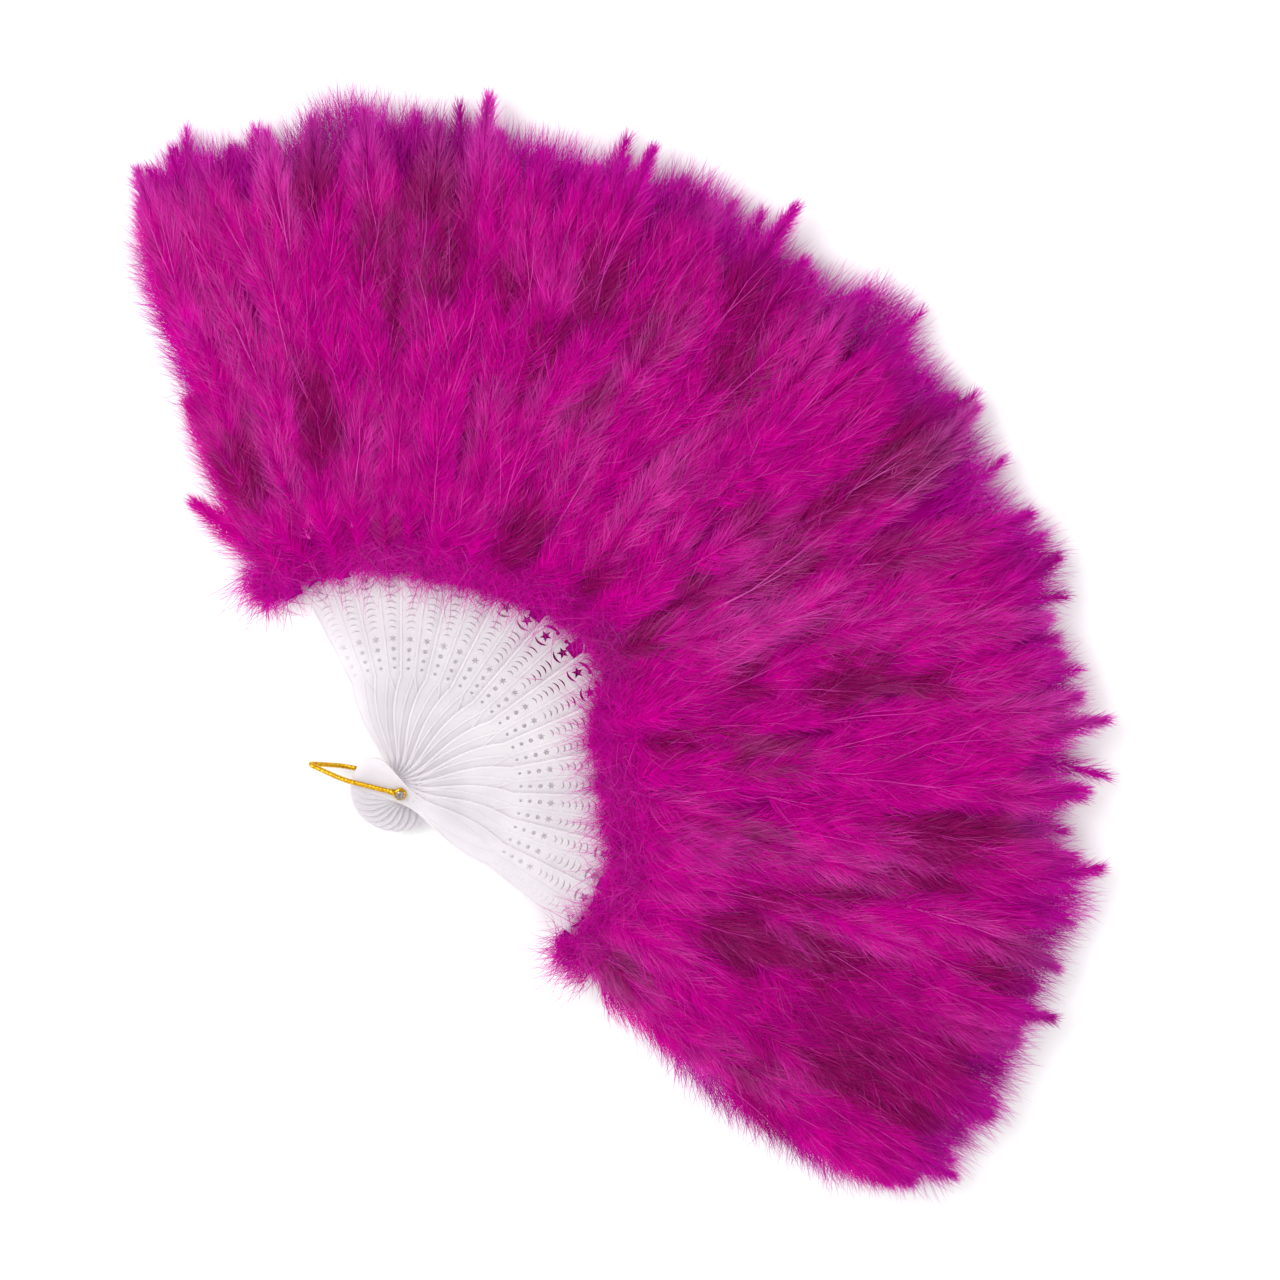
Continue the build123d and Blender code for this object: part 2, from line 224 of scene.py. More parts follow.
def surface(row, radius, side):
    """The height of the feathers' front or back face at these places and distances from the rivet."""
    level = stick_level(row)
    fall = smooth((TIP + 2 * MM - radius) / RIM_FALL)
    rise = smooth((radius - inner_edge(row, side)) / INNER_RISE)
    middle = middle_level(row)
    bumps = (patches(3, row, 0.030, 0.075) - 0.5) * LARGE_BUMPS
    bumps = bumps + (patches(4, row, 0.013, 0.034) - 0.5) * SMALL_BUMPS
    if side == "front":
        inner, rim = level + FRONT_INNER, middle + RIM_DEPTH
        face = rim + (inner + (PAD_TOP - FRONT_DROP - inner) * rise - rim) * fall + bumps * rise
        return np.where(radius < STICKS_END, np.maximum(face, level + FRONT_CLEAR), face)
    inner, rim = level - BACK_INNER, middle - RIM_DEPTH
    face = rim + (inner + (BACK_LEVEL - inner) * rise - rim) * fall + 0.4 * bumps * rise
    return np.where(radius < STICKS_END, np.minimum(face, level - BACK_CLEAR), face)


def dye_and_painted_light(rng, row, radius, edge):
    """Each strand's colour at its root and its tip: the dye, darkened as painted shade in patches between clumps
    and in a hollow low on the right, and lightened as painted highlights. edge is 1 for strands at the fan's edges
    and 0 inside.
    """
    count = len(radius)
    # Dark patches of painted shade between the clumps, starting a little past the inner edge.
    dark = 0.9 * smooth((patches(7, row, 0.016, 0.052) - 0.58) / 0.2)
    dark = dark * smooth((radius - INNER_EDGE - PARTING) / DARK_EASE)
    # More painted shade in the hollow low on the right.
    turned = (turn_of(row) - HOLLOW_TURN) / HOLLOW_SPREAD
    hollow_shade = np.exp(-(turned**2) - ((radius - HOLLOW_RADIUS) / HOLLOW_LENGTH) ** 2)
    dark = np.maximum(dark, 0.85 * hollow_shade * smooth(patches(9, row, 0.012, 0.045) / 0.45))
    rim = np.maximum(edge, 0.9 * smooth((radius - PURPLE_START) / PURPLE_EASE))
    # Painted highlights: pale patches, a little on every strand, and a few strands much paler.
    light = 0.22 * smooth((patches(8, row, 0.012, 0.040) - 0.66) / 0.2)
    light = np.clip(light + rng.normal(0.02, 0.05, count), 0, 1)
    light[rng.random(count) > 0.95] += 0.5
    dark, rim, light = dark[:, None], rim[:, None], np.minimum(light, 0.85)[:, None]
    root = MAGENTA + (PAINTED_SHADE_WINE - MAGENTA) * dark
    root = root + (PURPLE - root) * 0.55 * rim
    root = root * rng.normal(0.94, 0.07, count)[:, None]
    tip = root + (PURPLE - root) * 0.5 * rim
    # The painted highlight lightens the tips.
    tip = tip + (PALE_QUILL_AND_HIGHLIGHT - tip) * light
    return np.clip(root, 0, 0.95), np.clip(tip, 0, 0.95)


# ---------------------------------------------------------------- materials
def material(name):
    """A new material's node tree and its Principled shader."""
    new = bpy.data.materials.new(name)
    new.use_nodes = True
    tree = new.node_tree
    return new, tree, tree.nodes["Principled BSDF"]


def add_node(tree, kind, **values):
    """A node with its settings, or its inputs where a name is capitalised."""
    node = tree.nodes.new(kind)
    for key, value in values.items():
        if key[0].isupper():
            node.inputs[key.replace("_", " ")].default_value = value
        else:
            setattr(node, key, value)
    return node


def ramp(tree, stops):
    """A colour ramp with these (position, colour) stops."""
    node = tree.nodes.new("ShaderNodeValToRGB")
    elements = node.color_ramp.elements
    for position, colour in stops[2:]:
        elements.new(position)
    for element, (position, colour) in zip(elements, sorted(stops)):
        element.position = position
        element.color = (*colour, 1)
    return node


def feather_material():
    """Dyed down with painted shade and painted highlights: each strand has its colour, fine grain varies it, and
    light comes through it.
    """
    new, tree, shader = material("marabou")
    strand_colour = add_node(tree, "ShaderNodeAttribute", attribute_name="dye_and_painted_light")
    place = add_node(tree, "ShaderNodeTexCoord")
    noise = add_node(tree, "ShaderNodeTexNoise", Scale=70.0, Detail=4.0, Roughness=0.6)
    spread = add_node(tree, "ShaderNodeMapRange", From_Min=0.3, From_Max=0.7, To_Min=0.84, To_Max=1.16)
    colour = add_node(tree, "ShaderNodeVectorMath", operation="SCALE")
    links = tree.links
    links.new(place.outputs["Object"], noise.inputs["Vector"])
    links.new(noise.outputs["Fac"], spread.inputs["Value"])
    links.new(strand_colour.outputs["Color"], colour.inputs[0])
    links.new(spread.outputs["Result"], colour.inputs["Scale"])
    links.new(colour.outputs["Vector"], shader.inputs["Base Color"])
    shader.inputs["Roughness"].default_value = 0.8
    shader.inputs["Specular IOR Level"].default_value = 0.0
    through = add_node(tree, "ShaderNodeBsdfTranslucent")
    mix = add_node(tree, "ShaderNodeMixShader", Fac=0.45)
    links.new(colour.outputs["Vector"], through.inputs["Color"])
    links.new(shader.outputs[0], mix.inputs[1])
    links.new(through.outputs[0], mix.inputs[2])
    links.new(mix.outputs[0], tree.nodes["Material Output"].inputs["Surface"])
    return new


def plastic_material():
    """Thin milky plastic that lets light through, a little cloudy, with the mould's faint orange peel."""
    new, tree, shader = material("milky_plastic")
    place = add_node(tree, "ShaderNodeTexCoord")
    cloud = add_node(tree, "ShaderNodeTexNoise", Scale=26.0, Detail=5.0, Roughness=0.55)
    colours = ramp(tree, [(0.3, (0.86, 0.83, 0.86)), (0.7, (0.93, 0.91, 0.925))])
    peel = add_node(tree, "ShaderNodeTexNoise", Scale=900.0, Detail=2.0)
    bump = add_node(tree, "ShaderNodeBump", Strength=0.12, Distance=0.0001)
    gloss = add_node(tree, "ShaderNodeMapRange", To_Min=0.34, To_Max=0.5)
    through = add_node(tree, "ShaderNodeBsdfTranslucent")
    mix = add_node(tree, "ShaderNodeMixShader", Fac=0.58)
    links = tree.links
    links.new(place.outputs["Object"], cloud.inputs["Vector"])
    links.new(place.outputs["Object"], peel.inputs["Vector"])
    links.new(cloud.outputs["Fac"], colours.inputs["Fac"])
    links.new(cloud.outputs["Fac"], gloss.inputs["Value"])
    links.new(gloss.outputs["Result"], shader.inputs["Roughness"])
    links.new(colours.outputs["Color"], shader.inputs["Base Color"])
    links.new(colours.outputs["Color"], through.inputs["Color"])
    links.new(peel.outputs["Fac"], bump.inputs["Height"])
    links.new(bump.outputs["Normal"], shader.inputs["Normal"])
    links.new(shader.outputs[0], mix.inputs[1])
    links.new(through.outputs[0], mix.inputs[2])
    links.new(mix.outputs[0], tree.nodes["Material Output"].inputs["Surface"])
    shader.inputs["Specular IOR Level"].default_value = 0.3
    return new


def metal_material(name, dark, light, rough, scale):
    """Metal whose colour and gloss wander between two limits, as on handled wire."""
    new, tree, shader = material(name)
    place = add_node(tree, "ShaderNodeTexCoord")
    noise = add_node(tree, "ShaderNodeTexNoise", Scale=scale, Detail=4.0, Roughness=0.6)
    colours = ramp(tree, [(0.35, dark), (0.65, light)])
    gloss = add_node(tree, "ShaderNodeMapRange", To_Min=rough - 0.08, To_Max=rough + 0.1)
    bump = add_node(tree, "ShaderNodeBump", Strength=0.2, Distance=0.00005)
    links = tree.links
    links.new(place.outputs["Object"], noise.inputs["Vector"])
    links.new(noise.outputs["Fac"], colours.inputs["Fac"])
    links.new(noise.outputs["Fac"], gloss.inputs["Value"])
    links.new(noise.outputs["Fac"], bump.inputs["Height"])
    links.new(colours.outputs["Color"], shader.inputs["Base Color"])
    links.new(gloss.outputs["Result"], shader.inputs["Roughness"])
    links.new(bump.outputs["Normal"], shader.inputs["Normal"])
    shader.inputs["Metallic"].default_value = 1.0
    return new


FEATHER = feather_material()
PLASTIC = plastic_material()
GOLD = metal_material("gold_wire", (0.50, 0.22, 0.006), (0.90, 0.56, 0.03), 0.24, 700.0)
STEEL = metal_material("rivet_steel", (0.13, 0.10, 0.09), (0.50, 0.46, 0.43), 0.28, 900.0)


# ---------------------------------------------------------------- meshes
def strands(rng, roots, heading, toward, length, width, root_colour, tip_colour):
    """Thin tapered ribbons. Each starts at its root along heading and bends to toward as it goes.

    Returns the corners, with two for each step and one at the tip, the faces and each corner's colour.
    """
    count = len(roots)
    points = [roots]
    here = roots
    wander = rng.normal(0, 0.16, (count, 3))
    for step in range(BARB_STEPS):
        share = (step + 0.5) / BARB_STEPS
        way = heading * (1 - share) + toward * share + wander * share + rng.normal(0, 0.07, (count, 3))
        way /= np.linalg.norm(way, axis=1, keepdims=True)
        here = here + way * (length / BARB_STEPS)[:, None]
        points.append(here)
    line = np.stack(points, axis=1)
    line[..., 2] = np.clip(line[..., 2], LOWEST, HIGHEST)
    along = line[:, -1] - line[:, 0]
    upright = rng.normal(0, 0.3, (count, 3)) + np.array((0, 0, 1.0))
    across = np.cross(along, upright)
    across /= np.linalg.norm(across, axis=1, keepdims=True) + 1e-9
    shares = np.linspace(0, 1, BARB_STEPS + 1)
    half = 0.5 * width[:, None] * (1 - 0.82 * shares[:-1] ** 1.3)
    left = line[:, :-1] - across[:, None] * half[..., None]
    right = line[:, :-1] + across[:, None] * half[..., None]
    pairs = np.stack([left, right], axis=2).reshape(count, 2 * BARB_STEPS, 3)
    corners = np.concatenate([pairs, line[:, -1:]], axis=1)
    per = 2 * BARB_STEPS + 1
    first = np.arange(count)[:, None] * per
    quads = [first + np.array([2 * k, 2 * k + 1, 2 * k + 3, 2 * k + 2]) for k in range(BARB_STEPS - 1)]
    ends = first + np.array([per - 3, per - 2, per - 1])
    shade = np.append(np.repeat(shares[:-1], 2), 1.0)[None, :, None]
    colours = root_colour[:, None] * (1 - shade) + tip_colour[:, None] * shade
    return corners.reshape(-1, 3), np.concatenate(quads), ends, colours.reshape(-1, 3)


def unit(vectors):
    """Vectors at length 1."""
    return vectors / (np.linalg.norm(vectors, axis=-1, keepdims=True) + 1e-12)


def is_end(index, hand):
    """Whether the fan's own side is on this hand of the stick. hand is -1 for left and 1 for right."""
    return (index == 0 and hand < 0) or (index == TOP_STICK and hand > 0)


def half_width(radius, index, hand):
    """How far the feathers of a stick reach to this hand of its centre line."""
    if not is_end(index, hand):
        return radius * np.sin(PITCH / 2)
    root, tip = RIGHT_SIDE if hand > 0 else (LEFT_SIDE, LEFT_SIDE)
    return root + (tip - root) * smooth((radius - SIDE_EASE_START) / SIDE_EASE) - SIDE_STRANDS


def both_sides(radius, index, narrow):
    """The left and right half widths of a stick's feathers, with the fan's own side narrowed."""
    return [half_width(radius, index, hand) * (narrow if is_end(index, hand) else 1) for hand in (-1, 1)]


def outward(side):
    """The sign of the direction from the sticks out of this face."""
    return 1.0 if side == "front" else -1.0


def plume(rng, index, side, root, heading, length, painted_highlight):
    """One marabou feather: long soft barbs that leave its quill on both sides and turn towards its tip."""
    count = BARBS[side]
    share = rng.random(count) ** 0.9
    hand = rng.choice((-1.0, 1.0), count)
    sweep = rng.normal(0, 0.16)
    turned = heading + sweep * share
    middle = heading + 0.5 * sweep * share
    base = np.empty((count, 3))
    base[:, 0] = root[0] + length * share * np.sin(middle)
    base[:, 1] = root[1] + length * share * np.cos(middle)
    radius = np.hypot(base[:, 0], base[:, 1])
    row = to_row(np.column_stack([base[:, :2], np.zeros(count)]), index)
    out = outward(side)
    lift = PLUME_LIFT * np.sin(pi * share) + rng.normal(-PLUME_SINK, PLUME_SCATTER, count)
    base[:, 2] = surface(row, radius, side) + out * lift
    tip_way = np.column_stack([np.sin(turned), np.cos(turned), np.zeros(count)])
    side_way = np.column_stack([np.cos(turned), -np.sin(turned), np.zeros(count)]) * hand[:, None]
    spread = np.radians(BARB_ANGLE - BARB_CLOSING * share) + rng.normal(0, 0.2, count)
    start = tip_way * np.cos(spread)[:, None] + side_way * np.sin(spread)[:, None]
    start[:, 2] += out * rng.normal(0.2, 0.2, count)
    end = unit(tip_way + side_way * rng.normal(0.14, 0.24, count)[:, None])
    end[:, 2] += out * rng.normal(0.02, 0.2, count)
    reach = BARB_LENGTH * (0.62 + 0.5 * np.sin(pi * np.clip(share * 0.85 + 0.12, 0, 1)))
    reach *= (1 - 0.45 * share**3) * rng.uniform(0.6, 1.15, count)
    width = BARB_WIDTH * rng.uniform(0.6, 1.25, count)
    root_colour, tip_colour = dye_and_painted_light(rng, row, radius, 0)
    # Pale plumes get more painted highlight toward their barbs' tips.
    tip_colour += (PALE_QUILL_AND_HIGHLIGHT - tip_colour) * painted_highlight * rng.random(count)[:, None]
    return base, unit(start), unit(end), reach, width, root_colour, tip_colour


def quill(rng, index, side, root, heading, length, painted_highlight):
    """The pale quill down a feather's middle, as a few long fine strands."""
    count = QUILL_STRANDS
    base = np.tile(np.array([[root[0], root[1], 0.0]]), (count, 1))
    base[:, :2] += rng.normal(0, QUILL_JITTER, (count, 2))
    row = to_row(base, index)
    out = outward(side)
    base[:, 2] = surface(row, np.hypot(base[:, 0], base[:, 1]), side) + out * QUILL_LIFT
    way = np.tile(np.array([[sin(heading), cos(heading), out * 0.03]]), (count, 1))
    # The quill's own paler colour, with painted highlight added on pale plumes; its root is drawn a little darker.
    colour = np.tile(MAGENTA + (PALE_QUILL_AND_HIGHLIGHT - MAGENTA) * (0.25 + 0.6 * painted_highlight), (count, 1))
    return base, way, way, np.full(count, length * 0.8), np.full(count, QUILL_WIDTH), colour * 0.9, colour


def plumes(rng, index, side):
    """All the barbs and quills of one face of a stick, as lists to be joined."""
    parts = []
    for across, root_radius, length in PLUME_ROWS:
        aim_radius = np.array([root_radius + 0.4 * length])
        left, right = [float(half_width(aim_radius, index, hand)[0]) for hand in (-1, 1)]
        extra = 1 if left + right > 1.25 * 2 * aim_radius[0] * sin(PITCH / 2) else 0
        for number in range(across + extra):
            share = (number + rng.uniform(0.25, 0.75)) / (across + extra)
            aim = -left + (left + right) * share
            inner = inner_edge(to_row(np.array([aim * 0.6, 0.9 * root_radius, 0.0]), index), side)
            radius = max(root_radius + rng.uniform(-ROOT_SCATTER, ROOT_SCATTER), inner + ROOT_GAP)
            near_side = is_end(index, np.sign(aim)) and abs(aim) > 0.5 * LEFT_SIDE
            angle = np.arcsin(np.clip(aim / (radius + 0.4 * length), -0.9, 0.9))
            x = aim * 0.84 if near_side else aim * radius / (radius + 0.4 * length)
            heading = (0.0 if near_side else angle) + rng.normal(0, 0.05 if near_side else 0.15)
            size = length * rng.uniform(0.86, 1.08)
            shift = STOP_MIDDLE if abs(share - 0.5) < 0.25 else STOP_BESIDE
            stop = TIP + shift + rng.uniform(*STOP_SCATTER)
            if near_side:
                stop = TIP + STOP_SIDE
            size -= max(0.0, radius + size + 0.3 * BARB_LENGTH - stop)
            # One plume in five gets a painted highlight.
            painted_highlight = rng.uniform(0.3, 0.7) if rng.random() < 0.2 else 0.0
            args = (rng, index, side, (x, radius), heading, size, painted_highlight)
            parts += [plume(*args), quill(*args)]
    return parts


def across_width(rng, index, radius, count):
    """Random places across a stick's feathers, this far from the rivet, with the fan's corners rounded."""
    narrow = 1 - 0.5 * smooth((radius - TIP + CORNER_START) / CORNER_EASE)
    left, right = both_sides(radius, index, narrow)
    base = np.zeros((count, 3))
    base[:, 0] = -left + (left + right) * rng.random(count)
    base[:, 1] = np.sqrt(np.maximum(radius**2 - base[:, 0] ** 2, 0))
    return base


def loose(rng, index, side, base, radius, root_level, start, end, length, wide, edge=1.0):
    """Loose strands from these places, somewhere between the root level and the face."""
    count = len(base)
    row = to_row(base, index)
    face = surface(row, radius, side)
    base[:, 2] = root_level + (face - root_level) * rng.uniform(0.1, 1.0, count)
    root_colour, tip_colour = dye_and_painted_light(rng, row, radius, edge)
    width = BARB_WIDTH * rng.uniform(0.5, 1.0, count) * wide
    return base, unit(start), unit(end), length * rng.uniform(0.45, 1.2, count), width, root_colour, tip_colour


def fringe(rng, index, side):
    """Loose strands at the inner edge, which curl back over the scalloped ends of the sticks."""
    count = int(1.4 * LOOSE[side])
    out = outward(side)
    base = across_width(rng, index, np.full(count, INNER_EDGE), count)
    radius = inner_edge(to_row(base, index), side) + rng.random(count) ** 1.2 * FRINGE_DEPTH + FRINGE_GAP
    base[:, :2] *= (radius / INNER_EDGE)[:, None]
    swing = rng.normal(0, 0.95, count)
    back = rng.uniform(-0.9, 1.0, count)
    start = np.column_stack([np.sin(swing), -np.cos(swing) * back, out * rng.uniform(0, 0.6, count)])
    end = np.column_stack([np.sin(swing * 1.4), -np.cos(swing), np.full(count, -0.1 * out)])
    length = np.where(rng.random(count) < WISP_SHARE, WISP_LENGTH, FRINGE_LENGTH)
    root_level = stick_level(to_row(base, index)) + out * FRINGE_LIFT
    return loose(rng, index, side, base, radius, root_level, start, end, length, 1.1, 0.3)


def rim(rng, index, side):
    """Loose strands that soften the fan's outer edge between the tufts."""
    count = LOOSE[side]
    base = across_width(rng, index, np.full(count, TIP), count)
    tuft = (patches(12, to_row(base, index), 0.030, 10.0) - 0.5) * TUFT_SIZE
    radius = TIP + tuft - rng.uniform(RIM_NEAR, RIM_FAR, count)
    base[:, :2] *= (radius / TIP)[:, None]
    lean = np.arcsin(base[:, 0] / radius) * 0.8 + rng.normal(0, 0.38, count)
    start = np.column_stack([np.sin(lean), np.cos(lean), rng.normal(0, 0.25, count)])
    end = np.column_stack([np.sin(lean * 0.6), np.cos(lean * 0.6), rng.normal(0, 0.25, count)])
    root_level = middle_level(to_row(base, index))
    return loose(rng, index, side, base, radius, root_level, start, end, RIM_LENGTH, 1.15)


def side_fluff(rng, index, side):
    """Loose strands along the fan's open side, which flare back at its inner corner."""
    hand = -1.0 if index == 0 else 1.0
    out = outward(side)
    count = 2 * LOOSE[side]
    along = INNER_EDGE + SIDE_INNER + (TIP - SIDE_OUTER - INNER_EDGE) * rng.random(count)
    base = np.zeros((count, 3))
    cut = smooth((along - TIP + SIDE_TIP_START) / SIDE_TIP_EASE) * SIDE_TIP_CUT
    base[:, 0] = hand * (half_width(along, index, hand) - cut - rng.uniform(SIDE_NEAR, SIDE_FAR, count))
    base[:, 1] = along
    radius = np.hypot(base[:, 0], along)
    flare = smooth((INNER_EDGE + FLARE_START - along) / FLARE_EASE)
    lean = rng.normal(SIDE_LEAN, SIDE_LEAN_SPREAD, count)
    lean = np.radians(lean + flare * rng.uniform(*FLARE_LEAN, count))
    start = np.column_stack([hand * np.sin(lean), np.cos(lean), out * rng.normal(0.05, 0.3, count)])
    bent = lean * 0.7
    end = np.column_stack([hand * np.sin(bent), np.cos(bent), out * rng.normal(-0.1, 0.25, count)])
    return loose(rng, index, side, base, radius, PAD_MIDDLE, start, end, 0.85 * BARB_LENGTH, 1.0)


def down(index, side):
    """The dense down under the plumes: a closed, uneven slab from the tongue to just under the face."""
    rows, columns = DOWN_GRID
    inner, outer = INNER_EDGE + DOWN_INNER, TIP - DOWN_OUTER
    radii = inner + (outer - inner) * np.linspace(0, 1, rows)[:, None] * np.ones((1, columns))
    narrow = DOWN_SIDE - DOWN_SIDE_CUT * smooth((radii - TIP + DOWN_CUT_START) / DOWN_CUT_EASE)
    left, right = both_sides(radii, index, narrow)
    across = -left + (left + right) * np.linspace(0, 1, columns)[None]
    along = np.sqrt(radii**2 - across**2)
    row = to_row(np.stack([across, along, np.zeros_like(across)], axis=-1), index)
    out = outward(side)
    level = stick_level(row) + out * DOWN_LIFT
    close = smooth((radii - inner_edge(row, side) - DOWN_GAP) / DOWN_EASE)
    close = close * smooth((1 - np.linspace(0, 1, rows)) / 0.1)[:, None]
    depth = np.maximum(out * (surface(row, radii, side) - level) - DOWN_UNDER, DOWN_LEAST)
    upper, lower = row.copy(), row.copy()
    upper[..., 2], lower[..., 2] = np.maximum(level + out * depth * close, LOWEST), level
    corners = np.concatenate([upper.reshape(-1, 3), lower.reshape(-1, 3)])
    number = np.arange(rows * columns).reshape(rows, columns)
    cells = np.stack([number[:-1, :-1], number[:-1, 1:], number[1:, 1:], number[1:, :-1]], axis=-1)
    cells = cells.reshape(-1, 4)
    ring = np.concatenate([number[0, :], number[1:, -1], number[-1, -2::-1], number[-2:0:-1, 0]])
    after = np.roll(ring, -1)
    shift = rows * columns
    walls = np.stack([ring, ring + shift, after + shift, after], axis=-1)
    faces = np.concatenate([cells, cells[:, ::-1] + shift, walls])
    return corners, faces if side == "front" else faces[:, ::-1]


UV_MARGIN = 0.02


def build_mesh(name, corners, groups, colours):
    """A mesh from arrays of corners, of faces in groups of one size, and of each corner's colour."""
    mesh = bpy.data.meshes.new(name)
    loops = np.concatenate([faces.reshape(-1) for faces in groups])
    sizes = np.concatenate([np.full(len(faces), faces.shape[1]) for faces in groups])
    mesh.vertices.add(len(corners))
    mesh.vertices.foreach_set("co", corners.astype(np.float32).reshape(-1))
    mesh.loops.add(len(loops))
    mesh.loops.foreach_set("vertex_index", loops.astype(np.int32))
    mesh.polygons.add(len(sizes))
    starts = np.concatenate([[0], np.cumsum(sizes)[:-1]])
    mesh.polygons.foreach_set("loop_start", starts.astype(np.int32))
    mesh.polygons.foreach_set("use_smooth", np.ones(len(sizes), dtype=bool))
    mesh.update(calc_edges=True)
    layer = mesh.attributes.new("dye_and_painted_light", "FLOAT_COLOR", "POINT")
    opaque = np.column_stack([colours, np.ones(len(colours))])
    layer.data.foreach_set("color", opaque.astype(np.float32).reshape(-1))
    plan = corners[:, :2]
    low, high = plan.min(axis=0), plan.max(axis=0)
    spread = UV_MARGIN + (1 - 2 * UV_MARGIN) * (plan - low) / (high - low)
    uv = mesh.uv_layers.new(name="OFBake")
    uv.data.foreach_set("uv", spread[loops].astype(np.float32).reshape(-1))
    mesh.validate()
    return mesh


def make_feathers(index, side):
    """All the feathers on one face of a stick, in one piece."""
    rng = np.random.default_rng(1000 + 2 * index + (side == "back"))
    parts = plumes(rng, index, side) + [fringe(rng, index, side), rim(rng, index, side)]
    if index in (0, TOP_STICK):
        parts.append(side_fluff(rng, index, side))
    columns = [np.concatenate(column) for column in zip(*parts)]
    corners, quads, ends, colours = strands(rng, *columns)
    corners = to_row(corners, index)
    slab, cells = down(index, side)
    # The down slab takes the magenta darkened as painted shade.
    slab_shaded_colour = np.tile(DOWN_PAINTED_SHADE * MAGENTA, (len(slab), 1))
    name = f"marabou_{side}_{index:02d}"
    groups = [quads, ends, cells + len(corners)]
    mesh = build_mesh(name, np.concatenate([corners, slab]), groups, np.concatenate([colours, slab_shaded_colour]))
    mesh.materials.append(FEATHER)
    piece = bpy.data.objects.new(name, mesh)
    bpy.context.scene.collection.objects.link(piece)
    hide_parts(f"feathers_{side}_{index:02d}")
    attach(piece, BODIES[index])
    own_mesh(piece)


# ---------------------------------------------------------------- the bail
WIRE_RADIUS = 1.5 * MM
EYE_RADIUS = 3.9 * MM
EYE_HOLE = 1.65 * MM
EYE_LIFT = 1.8 * MM  # from the stack of sticks to the middle of an eye
BOW = 0.8 * MM
BEND_START = 34 * MM
STRAND_COUNT = 3
STRAND_RADIUS = 0.84 * MM
STRAND_OFFSET = WIRE_RADIUS + 0.06 * MM - STRAND_RADIUS  # from the wire's centre line
TURN_LENGTH = 6.5 * MM
BEND_EASE, LOOP_EASE = 8 * MM, 4.4 * MM  # how far from its corner a curve starts
ROUTE_STEP = 0.3 * MM
COLLAR_START, COLLAR_END, COLLAR_RADIUS = 3.4 * MM, 6.8 * MM, 1.95 * MM
COLLAR_STEPS = 12


def rounded_route(points, radii, steps=14):
    """Straight runs whose corners are eased by curves that start this far from each corner."""
    route = [np.array(points[0])]
    for before, corner, after, ease in zip(points, points[1:], points[2:], radii):
        corner = np.array(corner)
        first = corner + unit(np.array(before) - corner) * ease
        last = corner + unit(np.array(after) - corner) * ease
        for share in np.linspace(0, 1, steps):
            route.append((1 - share) ** 2 * first + 2 * share * (1 - share) * corner + share**2 * last)
    route.append(np.array(points[-1]))
    return np.array(route)


def even(route, spacing):
    """The same route with its points this far apart."""
    lengths = np.concatenate([[0], np.cumsum(np.linalg.norm(np.diff(route, axis=0), axis=1))])
    places = np.linspace(0, lengths[-1], int(lengths[-1] / spacing) + 1)
    return np.column_stack([np.interp(places, lengths, route[:, k]) for k in range(3)]), places


def tube(centres, radius, sides=10):
    """A closed tube along these points. radius is one number for each point."""
    tangent = unit(np.gradient(centres, axis=0))
    guide = np.array((-sin(BAIL_TURN), cos(BAIL_TURN), 0.0))
    first = unit(guide - tangent * (tangent @ guide)[:, None])
    second = np.cross(tangent, first)
    angles = np.linspace(0, 2 * pi, sides, endpoint=False)
    ring = first[:, None] * np.cos(angles)[None, :, None] + second[:, None] * np.sin(angles)[None, :, None]
    corners = (centres[:, None] + ring * radius[:, None, None]).reshape(-1, 3)
    number = np.arange(len(centres) * sides).reshape(-1, sides)
    beside = np.roll(number, -1, axis=1)
    walls = np.stack([number[:-1], beside[:-1], beside[1:], number[1:]], axis=-1).reshape(-1, 4)
    faces = [list(face) for face in walls] + [list(number[0][::-1]), list(number[-1])]
    return corners, faces


def eye(height, around=56, section=18):
    """A flattened ring on the rivet."""
    middle, half = (EYE_RADIUS + EYE_HOLE) / 2, (EYE_RADIUS - EYE_HOLE) / 2
    turns = [np.linspace(0, 2 * pi, count, endpoint=False) for count in (around, section)]
    a, b = np.meshgrid(*turns, indexing="ij")
    reach = middle + half * np.cos(b)
    x, y = PIVOT[0] + reach * np.cos(a), PIVOT[1] + reach * np.sin(a)
    corners = np.stack([x, y, height + WIRE_RADIUS * np.sin(b)], axis=-1)
    number = np.arange(around * section).reshape(around, section)
    right, up = np.roll(number, -1, axis=0), np.roll(number, -1, axis=1)
    both = np.roll(right, -1, axis=1)
    faces = np.stack([number, right, both, up], axis=-1).reshape(-1, 4)
    return corners.reshape(-1, 3), [list(face) for face in faces]


loop = np.array(MOUNTS["bail_loop"]["pos_m"]) - PIVOT
BAIL_TURN = float(np.arctan2(loop[1], loop[0]))
BAIL_LENGTH = float(np.hypot(loop[0], loop[1]))


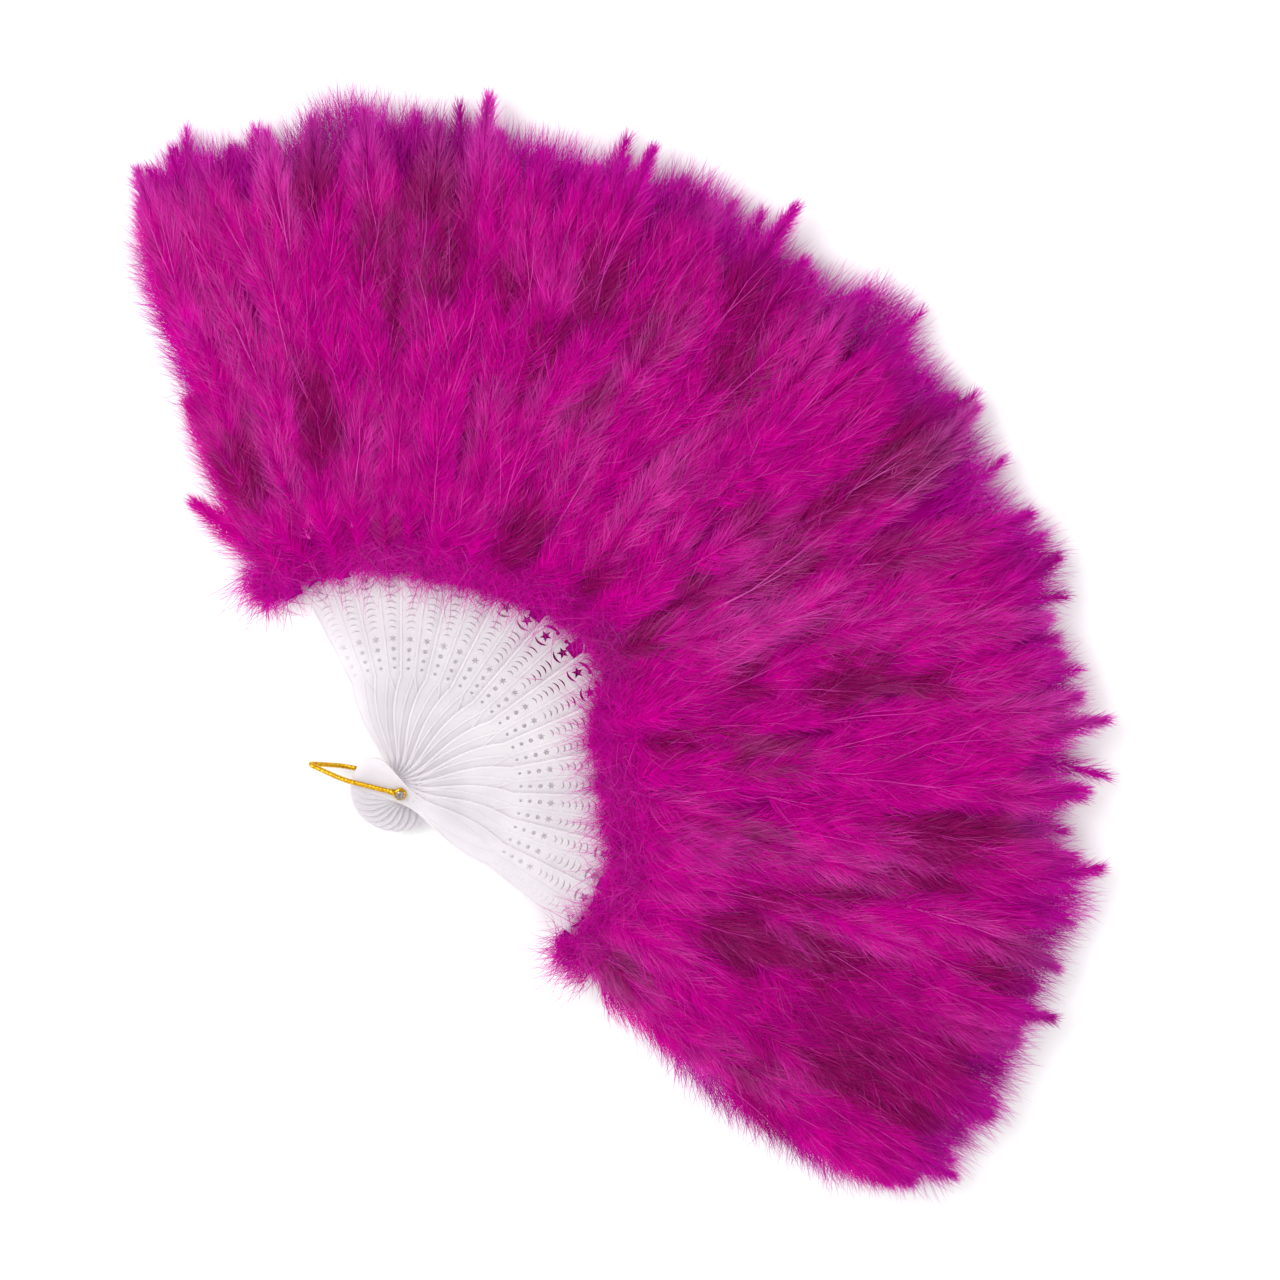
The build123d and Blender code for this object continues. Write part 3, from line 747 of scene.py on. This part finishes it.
def make_bail():
    """The bail: three fine gold wires twisted together, with a ring and a collar at each end."""
    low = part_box("guard_back")[0][2] - EYE_LIFT
    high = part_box("guard_front")[1][2] + EYE_LIFT
    flat = [
        (COLLAR_START, low),
        (BEND_START, low - BOW),
        (BAIL_LENGTH, (low + high) / 2),
        (BEND_START, high + BOW),
        (COLLAR_START, high),
    ]
    turned = cos(BAIL_TURN), sin(BAIL_TURN)
    points = [(PIVOT[0] + reach * turned[0], PIVOT[1] + reach * turned[1], height) for reach, height in flat]
    route, places = even(rounded_route(points, (BEND_EASE, LOOP_EASE, BEND_EASE)), ROUTE_STEP)
    pieces = []
    tangent = unit(np.gradient(route, axis=0))
    guide = np.array((-sin(BAIL_TURN), cos(BAIL_TURN), 0.0))
    second = np.cross(tangent, guide)
    for strand in range(STRAND_COUNT):
        angle = 2 * pi * (places / TURN_LENGTH + strand / STRAND_COUNT)
        offset = guide * np.cos(angle)[:, None] + second * np.sin(angle)[:, None]
        centres = route + offset * STRAND_OFFSET
        pieces.append(tube(centres, np.full(len(centres), STRAND_RADIUS)))
    for height in (low, high):
        pieces.append(eye(height))
        reaches = np.linspace(COLLAR_START, COLLAR_END, COLLAR_STEPS)
        x, y = PIVOT[0] + reaches * cos(BAIL_TURN), PIVOT[1] + reaches * sin(BAIL_TURN)
        centres = np.column_stack([x, y, np.full(COLLAR_STEPS, height)])
        rounding = np.sin(np.linspace(0.35, pi - 0.35, COLLAR_STEPS)) ** 0.3
        pieces.append(tube(centres, COLLAR_RADIUS * rounding, 20))
    corners, faces, offset = [], [], 0
    for part_corners, part_faces in pieces:
        corners.append(part_corners)
        faces += [[corner + offset for corner in face] for face in part_faces]
        offset += len(part_corners)
    mesh = bpy.data.meshes.new("twisted_bail")
    mesh.from_pydata([tuple(corner) for corner in np.concatenate(corners)], [], faces)
    mesh.polygons.foreach_set("use_smooth", np.ones(len(mesh.polygons), dtype=bool))
    mesh.materials.append(GOLD)
    piece = bpy.data.objects.new("twisted_bail", mesh)
    bpy.context.scene.collection.objects.link(piece)
    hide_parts("bail")
    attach(piece, "hanger")


# ---------------------------------------------------------------- the CAD pieces that stay
def paint(node, new):
    """Gives a CAD node's object this material."""
    slots = frame["nodes"][node].data.materials
    slots.clear()
    slots.append(new)


# ---------------------------------------------------------------- the stage
IMAGE_RIGHT = radians(52.65)  # where the picture's right-hand edge points, from +X
CAMERA_TILT = radians(16)
CAMERA_DISTANCE = 4.2
LENS = 200.0
CENTRE_FROM_RIVET = (14 * MM, 168 * MM)
FLOOR_HALF = 6.0


def make_camera():
    """The camera looks down on the open fan, a little from beyond the picture's upper edge."""
    up_turn = IMAGE_RIGHT + pi / 2
    lean = Vector((cos(up_turn), sin(up_turn), 0))
    right = Vector((cos(IMAGE_RIGHT), sin(IMAGE_RIGHT), 0))
    away = lean * sin(CAMERA_TILT) + Vector((0, 0, cos(CAMERA_TILT)))
    up = lean * cos(CAMERA_TILT) - Vector((0, 0, sin(CAMERA_TILT)))
    target = Vector((PIVOT[0] + CENTRE_FROM_RIVET[0], PIVOT[1] + CENTRE_FROM_RIVET[1], PAD_TOP / 2))
    camera = bpy.data.objects.new("camera", bpy.data.cameras.new("camera"))
    bpy.context.scene.collection.objects.link(camera)
    camera.data.lens = LENS
    turned = Matrix((right, up, away)).transposed()
    camera.matrix_world = Matrix.Translation(target + away * CAMERA_DISTANCE) @ turned.to_4x4()
    bpy.context.scene.camera = camera


def make_light(name, azimuth, elevation, distance, size, watts):
    """A square soft light that faces the fan."""
    light = bpy.data.objects.new(name, bpy.data.lights.new(name, "AREA"))
    bpy.context.scene.collection.objects.link(light)
    light.data.size = size
    light.data.energy = watts
    turn, rise = radians(azimuth), radians(elevation)
    place = Vector((cos(turn) * cos(rise), sin(turn) * cos(rise), sin(rise)))
    light.location = place * distance
    light.rotation_euler = place.to_track_quat("Z", "Y").to_euler()


def make_stage():
    """A pale floor under soft studio light."""
    new, _, shader = material("pale_floor")
    shader.inputs["Base Color"].default_value = (0.93, 0.93, 0.93, 1)
    shader.inputs["Roughness"].default_value = 0.9
    shader.inputs["Specular IOR Level"].default_value = 0.1
    half = FLOOR_HALF
    mesh = bpy.data.meshes.new("floor")
    corners = [(-half, -half, 0), (half, -half, 0), (half, half, 0), (-half, half, 0)]
    mesh.from_pydata(corners, [], [(0, 1, 2, 3)])
    mesh.materials.append(new)
    floor = bpy.data.objects.new("floor", mesh)
    bpy.context.scene.collection.objects.link(floor)
    world = bpy.data.worlds.new("studio")
    bpy.context.scene.world = world
    world.use_nodes = True
    sky = world.node_tree.nodes["Background"]
    sky.inputs["Color"].default_value = (1, 1, 1, 1)
    sky.inputs["Strength"].default_value = 0.88
    make_light("key", 190, 52, 2.4, 1.4, 38)
    make_light("fill", 20, 60, 2.6, 1.8, 13)
    bpy.context.scene.view_settings.view_transform = "Standard"


make_camera()
for node in STICKS:
    paint(node, PLASTIC)
for node in ("rivet", "rivet_cap"):
    paint(node, STEEL)
make_bail()
for stick in range(STICK_COUNT):
    for face_side in ("front", "back"):
        make_feathers(stick, face_side)
make_stage()
